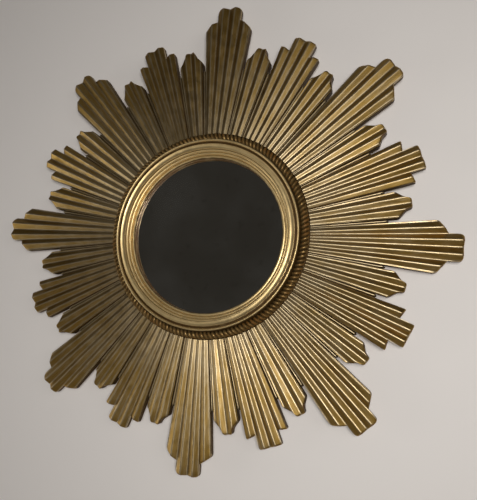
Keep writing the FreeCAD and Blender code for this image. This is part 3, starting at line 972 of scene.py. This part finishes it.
def ring_profile(sizes):
    """Closed section of the ring, as (radius, height, swell of the run after it, wax, wear) corners."""
    lip = sizes.rebate_depth + sizes.lip_edge
    nick = sizes.reed_nick
    first_nick = sizes.sight_radius + sizes.bead_width
    second_nick = first_nick + sizes.step_width
    hollow_nick = second_nick + sizes.step_width
    bead_top = lip + sizes.bead_rise
    reed_top = bead_top + sizes.step_rise
    hollow_foot = reed_top + sizes.step_rise
    groove = hollow_nick + sizes.hollow_width
    crest_in = groove + sizes.groove_width
    crest_out = crest_in + sizes.crest_width
    crest_foot = sizes.height - sizes.crest_width / 2
    hollow_top = sizes.height - sizes.hollow_drop
    groove_floor = hollow_top - sizes.groove_depth
    band_side = sizes.band_thickness * math.sqrt(0.5)
    seat_out = sizes.outer_radius - sizes.foot_chamfer
    bead_swell = sizes.bead_width * BEAD_SWELL_SHARE
    reed_swell = sizes.step_width * REED_SWELL_SHARE
    hollow_swell = sizes.hollow_width * HOLLOW_SWELL_SHARE
    cove_swell = sizes.band_thickness * COVE_SWELL_SHARE
    return [
        (sizes.rebate_radius, 0, 0, 1, 0),
        (sizes.rebate_radius, sizes.rebate_depth, 0, 1, 0),
        (sizes.sight_radius, sizes.rebate_depth, 0, LIP_WAX, 1),
        (sizes.sight_radius, lip - nick, 0, LIP_WAX, 1),
        (sizes.sight_radius, lip, bead_swell, 1, 0),
        (first_nick - nick, bead_top, 0, BEAD_WAX, 0),
        (first_nick, bead_top - nick, 0, 1, 0),
        (first_nick + nick, bead_top + nick, reed_swell, 0, 0),
        (second_nick - nick, reed_top, 0, 0, 0),
        (second_nick, reed_top - nick, 0, 1, 0),
        (second_nick + nick, reed_top + nick, reed_swell, 0, 0),
        (hollow_nick - nick, hollow_foot, 0, 0, 0),
        (hollow_nick, hollow_foot - nick, 0, 1, 0),
        (hollow_nick + nick, hollow_top - sizes.hollow_tilt, hollow_swell, HOLLOW_WAX, 0),
        (groove, hollow_top, 0, 0, 0),
        (groove + nick, hollow_top - nick, 0, LIP_WAX, 0),
        (groove + nick, groove_floor, 0, 1, 0),
        (crest_in, groove_floor, 0, 1, 0),
        (crest_in, crest_foot, sizes.crest_width / 2, 0, 0),
        # From the crest bead outwards the cove behind the band and the ledge below it are fully waxed:
        # wax, and painted shade under the band
        (crest_out, crest_foot, 0, 1, 0),
        (sizes.band_radius - band_side, sizes.band_height + band_side, cove_swell, 1, 0),
        (sizes.band_radius, sizes.foot_height, 0, 1, 0),
        (seat_out, sizes.foot_height, 0, 1, 0),
        (sizes.outer_radius, sizes.foot_height - sizes.foot_chamfer, 0, 1, 0),
        (sizes.outer_radius, 0, 0, 1, 0),
    ]


def draw_section(bm, corners):
    """Draws a closed section with its swells, marks its wax and wear, and gives its corners."""
    hollow = vert_mark(bm, "hollow")
    wear = vert_mark(bm, "wear")
    outline = []
    turned_corners = []
    for (radius, height, swell, wax, worn), after in zip(corners, corners[1:] + corners[:1]):
        end_radius, end_height, _, end_wax, _ = after
        corner = bm.verts.new(front_point(radius, height, 0))
        corner[hollow] = wax
        corner[wear] = worn
        outline.append(corner)
        turned_corners.append(corner)
        if swell:
            arc = bowed(Vector((radius, height)), Vector((end_radius, end_height)), swell)
            for step, point in enumerate(arc, start=1):
                vert = bm.verts.new(front_point(point.x, point.y, 0))
                part = step / (len(arc) + 1)
                vert[hollow] = wax * (1 - part) + end_wax * part
                vert[wear] = SWELL_WEAR if swell > 0 else 0
                outline.append(vert)
    for start, end in zip(outline, outline[1:] + outline[:1]):
        bm.edges.new((start, end))
    return turned_corners


# Waves of the gilt surface in each metre, and the share of the unevenness that the fine ones have
BROAD_WAVES = 55
FINE_WAVES = 210
FINE_WAVE_SHARE = 0.5


class SUNBURST_OT_turn_ring(Operator):
    """Turn the ring moulding from its section"""

    bl_idname = "sunburst.turn_ring"
    bl_label = "Turn Ring"

    def execute(self, context):
        sizes = context.scene.sunburst_ring
        bm = bmesh.new()
        turned_corners = draw_section(bm, ring_profile(sizes))
        soften(bm, turned_corners, sizes.soften, affect="VERTICES")
        turn_section(bm, sizes.steps)
        mark_round_uv(bm)
        bm.normal_update()
        for vert in bm.verts:
            if vert.co.y < board_face - sizes.rebate_depth:
                vert.co.y += sizes.unevenness * noise.noise(vert.co * BROAD_WAVES)
                fine = noise.noise(vert.co * FINE_WAVES) * FINE_WAVE_SHARE
                vert.co += vert.normal * sizes.unevenness * fine
        for face in bm.faces:
            face.material_index = int(face.calc_center_median().y > board_face - MERGE_DISTANCE)
        finish_piece(
            "turned_ring", bm, "frame",
            [finish("gilt_ring_paint"), finish("carver_wood")], ["ring_moulding"])
        return {"FINISHED"}


STRAND_SIDES = 8
STRAND_ROWS = 12
GROOVE_POWER = 1.4
STRAND_DRIFT_SHARE = 0.03
# Waves of a strand's thickness along the ring, in two directions, and round the strand
STRAND_WAVES = Vector((22, 22, 22 / 9))


class SUNBURST_OT_twist_band(Operator):
    """Twist the carved strands of the band round the ring"""

    bl_idname = "sunburst.twist_band"
    bl_label = "Twist Band"

    def execute(self, context):
        sizes = context.scene.sunburst_ring
        sides = STRAND_SIDES * sizes.band_strands
        rows = STRAND_ROWS * sizes.band_twists
        bm = bmesh.new()
        bmesh.ops.create_grid(bm, x_segments=sides, y_segments=rows, size=1)
        for vert in bm.verts:
            across = (vert.co.x + 1) / 2 * FULL_TURN
            turn = (vert.co.y + 1) / 2 * FULL_TURN
            lobe = abs(math.sin(across * sizes.band_strands / 2))
            radius = sizes.band_thickness * (1 - sizes.band_groove * (1 - lobe) ** GROOVE_POWER)
            drift = noise.noise(Vector((math.sin(turn), math.cos(turn), across)) * STRAND_WAVES)
            radius *= 1 + STRAND_DRIFT_SHARE * drift
            twist = across + turn * sizes.band_twists
            reach = sizes.band_radius + radius * math.cos(twist)
            place = front_point(reach, sizes.band_height + radius * math.sin(twist), 0)
            vert.co = Matrix.Rotation(turn, 3, "Y") @ place
        tidy_mesh(bm)
        mark_relief(bm, gain=4.0, spread=1)
        mark_round_uv(bm)
        finish_piece(
            "carved_band", bm, "frame", [finish("gilt_band_paint")], ["twisted_band"])
        return {"FINISHED"}


# Glass and back

def dress_node(node, material):
    """Gives a CAD node that is kept its finish."""
    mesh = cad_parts[node].data
    mesh.materials.clear()
    mesh.materials.append(finish(material))


GLASS_SIDES = 160


class SUNBURST_OT_set_glass(Operator):
    """Set the silvered glass in the ring and finish the packing, the panel and the backboard"""

    bl_idname = "sunburst.set_glass"
    bl_label = "Set Glass"

    def execute(self, context):
        sizes = context.scene.sunburst_back
        radius = (glass_high.x - glass_low.x) / 2
        bm = round_plate(radius, GLASS_SIDES, glass_high.y, glass_low.y)
        soften(bm, sharp_edges(bm), sizes.glass_bevel)
        finish_piece(
            "silvered_glass", bm, "frame", [finish("mirror_silver")], ["mirror_glass"],
            FLAT_ANGLE)
        dress_node("packing_sheet", "packing_card")
        dress_node("backing_panel", "plywood_board")
        dress_node("backboard", "plywood_board")
        return {"FINISHED"}


BUTTON_NAMES = ("top", "right", "bottom", "left")
BUTTON_SIDES = 32
ROUND_SEGMENTS = 3


class SUNBURST_OT_cut_buttons(Operator):
    """Cut the brass turn buttons that hold the panel"""

    bl_idname = "sunburst.cut_buttons"
    bl_label = "Cut Turn Buttons"

    def execute(self, context):
        sizes = context.scene.sunburst_back
        half = sizes.button_width / 2
        low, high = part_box("turn_button_top")
        for index, name in enumerate(BUTTON_NAMES):
            bm = round_plate(half, BUTTON_SIDES, low.y, high.y, nose=sizes.button_arm - half)
            soften(bm, sharp_edges(bm), sizes.button_bevel, ROUND_SEGMENTS)
            bmesh.ops.translate(bm, verts=bm.verts, vec=(0, 0, sizes.pivot_radius))
            turn_clockwise(bm, bm.verts, index * QUARTER_TURN)
            finish_piece(
                f"brass_button_{name}", bm, f"button_{name}", [finish("aged_brass")],
                [f"turn_button_{name}"], FLAT_ANGLE)
        return {"FINISHED"}


SCREW_SIDES = 20
# Least outward lean of the faces that the slot is cut into
HEAD_FACING = 0.2
# Domed head from its middle to its rim, as shares of its radius and height
DOME_SHARES = ((0.0, 0.0), (0.45, 0.06), (0.75, 0.22), (0.94, 0.5))


def slotted_screw(sizes, outline, slot_floor, slot_turn):
    """Turns a screw about its own axis from (radius, y) points and cuts the slot of its head."""
    bm = bmesh.new()
    verts = [bm.verts.new((radius, y, 0)) for radius, y in outline]
    for pair in zip(verts, verts[1:]):
        bm.edges.new(pair)
    turn_section(bm, SCREW_SIDES)
    across = Vector((math.cos(slot_turn), 0, math.sin(slot_turn)))
    for side in (-1, 1):
        bmesh.ops.bisect_plane(
            bm, geom=bm.verts[:] + bm.edges[:] + bm.faces[:], dist=MERGE_DISTANCE,
            plane_co=across * side * sizes.slot_width / 2, plane_no=across)
    bm.normal_update()
    slot = []
    for face in bm.faces:
        from_middle = abs(face.calc_center_median().dot(across))
        if face.normal.y > HEAD_FACING and from_middle < sizes.slot_width / 2:
            slot.append(face)
    cut = bmesh.ops.extrude_face_region(bm, geom=slot)["geom"]
    for vert in only(BMVert, cut):
        vert.co.y = slot_floor
    tidy_mesh(bm)
    return bm


class SUNBURST_OT_drive_screws(Operator):
    """Drive the slotted screws of the rays, the ring, the buttons and the strap"""

    bl_idname = "sunburst.drive_screws"
    bl_label = "Drive Screws"

    def execute(self, context):
        sizes = context.scene.sunburst_back
        rays = context.scene.sunburst_rays
        hand = random.Random(rays.hand_seed)
        ray_turns = [step * OCTANT / 2 for step in range(2 * OCTANTS)]
        for side in (1, -1):
            ray_turns += [step * OCTANT + side * rays.short_offset for step in range(OCTANTS)]
        ring_turns = [(step + 0.5) * OCTANT for step in range(OCTANTS)]
        button_turns = [step * QUARTER_TURN for step in range(len(BUTTON_NAMES))]
        self.drive("ray_screws", [(sizes.ray_screw_radius, turn) for turn in ray_turns], False, hand)
        self.drive("ring_screws", [(sizes.ring_screw_radius, turn) for turn in ring_turns], False, hand)
        self.drive("button_screws", [(sizes.pivot_radius, turn) for turn in button_turns], True, hand)
        strap_low, strap_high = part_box("strap_screws")
        strap_places = (strap_low.z + sizes.screw_head, strap_high.z - sizes.screw_head)
        self.drive("strap_screws", [(place - centre.z, 0.0) for place in strap_places], True, hand)
        return {"FINISHED"}

    def drive(self, node, places, dome, hand):
        """Screws of one node; a domed head stands on its seat, a flat one is let into it."""
        sizes = bpy.context.scene.sunburst_back
        low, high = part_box(node)
        head = sizes.screw_head
        shank = sizes.screw_shank
        top = high.y
        seat = top - (sizes.dome_height if dome else head - shank)
        outline = [(0, top), (head, top), (shank, seat)]
        if dome:
            outline = [(head * part, top - sizes.dome_height * drop) for part, drop in DOME_SHARES]
            outline += [(head, seat), (shank, seat)]
        outline += [(shank, low.y + 2 * shank), (0, low.y)]
        whole = bmesh.new()
        for radius, turn in places:
            bm = slotted_screw(sizes, outline, top - sizes.slot_depth, hand.uniform(0, math.pi))
            bmesh.ops.translate(bm, verts=bm.verts, vec=(0, 0, radius))
            turn_clockwise(bm, bm.verts, turn)
            part = bpy.data.meshes.new(node)
            bm.to_mesh(part)
            bm.free()
            whole.from_mesh(part)
            bpy.data.meshes.remove(part)
        finish_piece(f"slotted_{node}", whole, "frame", [finish("screw_steel")], [node])


EYE_STEPS = 18
EYE_TURN = math.radians(325)
STRAP_SHARP_ANGLE = math.radians(60)
WIRE_STEPS = 12
WIRE_ROUNDNESS = 4


def wire_path(sizes):
    """Path of the hanging ring's wire: a half circle above and two rounded corners below."""
    low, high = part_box("hanging_ring")
    wire_y = (low.y + high.y) / 2
    half = high.x - sizes.wire_radius
    foot = low.z + sizes.wire_radius
    bow = high.z - sizes.wire_radius - half
    path = []
    for step in range(WIRE_STEPS + 1):
        turn = math.pi * step / WIRE_STEPS
        path.append((half * math.cos(turn), wire_y, bow + half * math.sin(turn)))
    for side in (-1, 1):
        bend_centre = Vector((side * (half - sizes.wire_bend), wire_y, foot + sizes.wire_bend))
        bends = []
        for step in range(WIRE_STEPS // 2 + 1):
            turn = QUARTER_TURN * step / (WIRE_STEPS // 2)
            offset = Vector((side * math.cos(turn), 0, -math.sin(turn))) * sizes.wire_bend
            bends.append(bend_centre + offset)
        path += bends if side < 0 else bends[::-1]
    return path


class SUNBURST_OT_bend_hanger(Operator):
    """Bend the brass strap round its eye and the brass ring that hangs in it"""

    bl_idname = "sunburst.bend_hanger"
    bl_label = "Bend Hanger"

    def execute(self, context):
        sizes = context.scene.sunburst_back
        self.bend_strap(sizes)
        self.bend_ring(sizes)
        return {"FINISHED"}

    def bend_strap(self, sizes):
        low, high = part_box("hanger_strap")
        ring_low, ring_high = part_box("hanging_ring")
        eye_y = (ring_low.y + ring_high.y) / 2
        eye_z = ring_low.z + sizes.wire_radius
        eye_outer = high.z - eye_z
        thickness = eye_outer - sizes.wire_radius
        sheet_y = low.y + thickness / 2
        bm = bmesh.new()
        corners = [bm.verts.new((x, sheet_y, low.z)) for x in (low.x, high.x)]
        edge = bm.edges.new(corners)
        made = bmesh.ops.extrude_edge_only(bm, edges=[edge])["geom"]
        top = only(BMVert, made)
        for vert in top:
            vert.co.z = eye_z
        end = next(item for item in only(BMEdge, made) if set(item.verts) == set(top))
        bmesh.ops.spin(
            bm, geom=top + [end], cent=(0, eye_y, eye_z), axis=(1, 0, 0), dvec=(0, 0, 0),
            angle=-EYE_TURN, steps=EYE_STEPS, use_merge=False, use_duplicate=False)
        tidy_mesh(bm)
        bmesh.ops.solidify(bm, geom=bm.faces[:], thickness=thickness)
        foot = [vert.co.y for vert in bm.verts if vert.co.z < low.z + MERGE_DISTANCE]
        middle = sum(foot) / len(foot)
        bmesh.ops.translate(bm, verts=bm.verts, vec=(0, sheet_y - middle, 0))
        bmesh.ops.recalc_face_normals(bm, faces=bm.faces)
        soften(bm, sharp_edges(bm, STRAP_SHARP_ANGLE), sizes.strap_bevel)
        bmesh.ops.translate(bm, verts=bm.verts, vec=-centre)
        finish_piece("brass_strap", bm, "frame", [finish("aged_brass")], ["hanger_strap"])

    def bend_ring(self, sizes):
        path = wire_path(sizes)
        curve = bpy.data.curves.new("hanging_wire", "CURVE")
        curve.dimensions = "3D"
        curve.bevel_depth = sizes.wire_radius
        curve.bevel_resolution = WIRE_ROUNDNESS
        spline = curve.splines.new("POLY")
        spline.points.add(len(path) - 1)
        for point, place in zip(spline.points, path):
            point.co = (*place, 1.0)
        spline.use_cyclic_u = True
        holder = bpy.data.objects.new("hanging_wire", curve)
        mesh = bpy.data.meshes.new_from_object(holder)
        bm = bmesh.new()
        bm.from_mesh(mesh)
        bpy.data.objects.remove(holder)
        bpy.data.meshes.remove(mesh)
        tidy_mesh(bm)
        bmesh.ops.translate(bm, verts=bm.verts, vec=-centre)
        finish_piece("brass_ring", bm, "loop", [finish("aged_brass")], ["hanging_ring"])


PAD_SIDES = 40
PAD_COUNT = 4


class SUNBURST_OT_glue_pads(Operator):
    """Glue the felt pads to the back"""

    bl_idname = "sunburst.glue_pads"
    bl_label = "Glue Pads"

    def execute(self, context):
        sizes = context.scene.sunburst_back
        low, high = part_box("wall_pads")
        place = (high.x - sizes.pad_radius) * math.sqrt(2)
        bm = round_plate(sizes.pad_radius, PAD_SIDES, low.y, high.y)
        soften(bm, sharp_edges(bm), sizes.pad_round, ROUND_SEGMENTS)
        bmesh.ops.translate(bm, verts=bm.verts, vec=(0, 0, place))
        turn_clockwise(bm, bm.verts, math.pi / PAD_COUNT)
        repeat_round(bm, PAD_COUNT)
        tidy_mesh(bm)
        finish_piece("felt_pads", bm, "frame", [finish("wall_felt")], ["wall_pads"])
        return {"FINISHED"}


# Stage

def wall_paint(name, tone):
    """Matt paint that shows only from the front, so that the back of the mirror can be seen."""
    material, tree, shader = start_material(name)
    place = object_place(tree)
    roller = clouds(tree, place, scale=320, detail=3)
    drift = clouds(tree, place, scale=1.3, detail=2)
    wire(tree, shader, base_color=blended(tree, drift, darker(tone, 0.97), tone))
    shader.inputs["Roughness"].default_value = 0.85
    set_bump(tree, shader, roller, distance=0.0003, strength=0.3)
    behind = add_node(tree, "ShaderNodeNewGeometry", {}).outputs["Backfacing"]
    clear = add_node(tree, "ShaderNodeBsdfTransparent", {}).outputs["BSDF"]
    both = add_node(tree, "ShaderNodeMixShader", {0: behind, 1: shader.outputs["BSDF"], 2: clear})
    tree.links.new(both.outputs["Shader"], tree.nodes["Material Output"].inputs["Surface"])
    return material


def stage_plane(name, reach, place, tilt, material):
    bm = bmesh.new()
    tilted = Matrix.Rotation(tilt, 4, "X")
    bmesh.ops.create_grid(bm, x_segments=1, y_segments=1, size=reach, matrix=tilted)
    bmesh.ops.translate(bm, verts=bm.verts, vec=place)
    plane = add_object(name, bm, [material])
    return plane


def add_lamp(name, turn, rise, distance, size, watts):
    """Square soft lamp that faces the middle of the mirror."""
    lamp = bpy.data.lights.new(name, "AREA")
    lamp.shape = "SQUARE"
    lamp.size = size
    lamp.energy = watts
    holder = bpy.data.objects.new(name, lamp)
    towards = Vector((math.sin(turn) * math.cos(rise), -math.cos(turn) * math.cos(rise), math.sin(rise)))
    holder.location = centre + towards * distance
    holder.rotation_euler = towards.to_track_quat("Z", "Y").to_euler()
    bpy.context.scene.collection.objects.link(holder)


class SUNBURST_OT_set_stage(Operator):
    """Set the wall, the floor, the lamps and the camera"""

    bl_idname = "sunburst.set_stage"
    bl_label = "Set Stage"

    def execute(self, context):
        stage = context.scene.sunburst_stage
        wall_place = (centre.x, MERGE_DISTANCE, centre.z + stage.stage_reach - stage.floor_drop)
        wall_finish = wall_paint("wall_paint", stage.wall_colour)
        wall = stage_plane("wall", stage.stage_reach, wall_place, QUARTER_TURN, wall_finish)
        wall.visible_shadow = False
        wall.visible_diffuse = False
        floor_place = (centre.x, 0, centre.z - stage.floor_drop)
        floor_finish = matted(
            "floor_paint", stage.floor_colour, darker(stage.floor_colour, 0.96),
            scale=60, roughness=0.8, relief=0.0002)
        stage_plane("floor", stage.stage_reach, floor_place, 0, floor_finish)

        for name in LAMPS:
            add_lamp(f"{name}_lamp", *[getattr(stage, f"{name}_{part}") for part in LAMP_PARTS])
        world = bpy.data.worlds.new("room")
        world.use_nodes = True
        world.node_tree.nodes["Background"].inputs["Color"].default_value = opaque(stage.room_colour)
        context.scene.world = world

        camera = bpy.data.cameras.new("camera")
        camera.lens = stage.camera_lens
        camera.shift_x, camera.shift_y = stage.camera_shift
        holder = bpy.data.objects.new("camera", camera)
        holder.location = stage.camera_place
        holder.rotation_euler = stage.camera_turn
        context.scene.collection.objects.link(holder)
        context.scene.camera = holder
        context.scene.view_settings.view_transform = "Standard"
        return {"FINISHED"}


class SUNBURST_PT_panel(Panel):
    """Steps that build the mirror, in their order"""

    bl_idname = "SUNBURST_PT_panel"
    bl_label = "Sunburst Mirror"
    bl_space_type = "VIEW_3D"
    bl_region_type = "UI"
    bl_category = "Sunburst"

    def draw(self, context):
        for step in STEPS:
            self.layout.operator(step.bl_idname)


SETTINGS = {
    "sunburst_rays": RaySizes,
    "sunburst_ring": RingSizes,
    "sunburst_back": BackSizes,
    "sunburst_finishes": Finishes,
    "sunburst_stage": StageSettings,
}
STEPS = (
    SUNBURST_OT_carve_rays,
    SUNBURST_OT_carve_slips,
    SUNBURST_OT_turn_ring,
    SUNBURST_OT_twist_band,
    SUNBURST_OT_set_glass,
    SUNBURST_OT_cut_buttons,
    SUNBURST_OT_drive_screws,
    SUNBURST_OT_bend_hanger,
    SUNBURST_OT_glue_pads,
    SUNBURST_OT_set_stage,
)


def register():
    for group in SETTINGS.values():
        bpy.utils.register_class(group)
    for name, group in SETTINGS.items():
        setattr(bpy.types.Scene, name, PointerProperty(type=group))
    for step in STEPS:
        bpy.utils.register_class(step)
    bpy.utils.register_class(SUNBURST_PT_panel)


def unregister():
    bpy.utils.unregister_class(SUNBURST_PT_panel)
    for step in reversed(STEPS):
        bpy.utils.unregister_class(step)
    for name in SETTINGS:
        delattr(bpy.types.Scene, name)
    for group in reversed(SETTINGS.values()):
        bpy.utils.unregister_class(group)


def main():
    register()
    for step in STEPS:
        group, name = step.bl_idname.split(".")
        getattr(getattr(bpy.ops, group), name)()


if __name__ == "__main__":
    main()
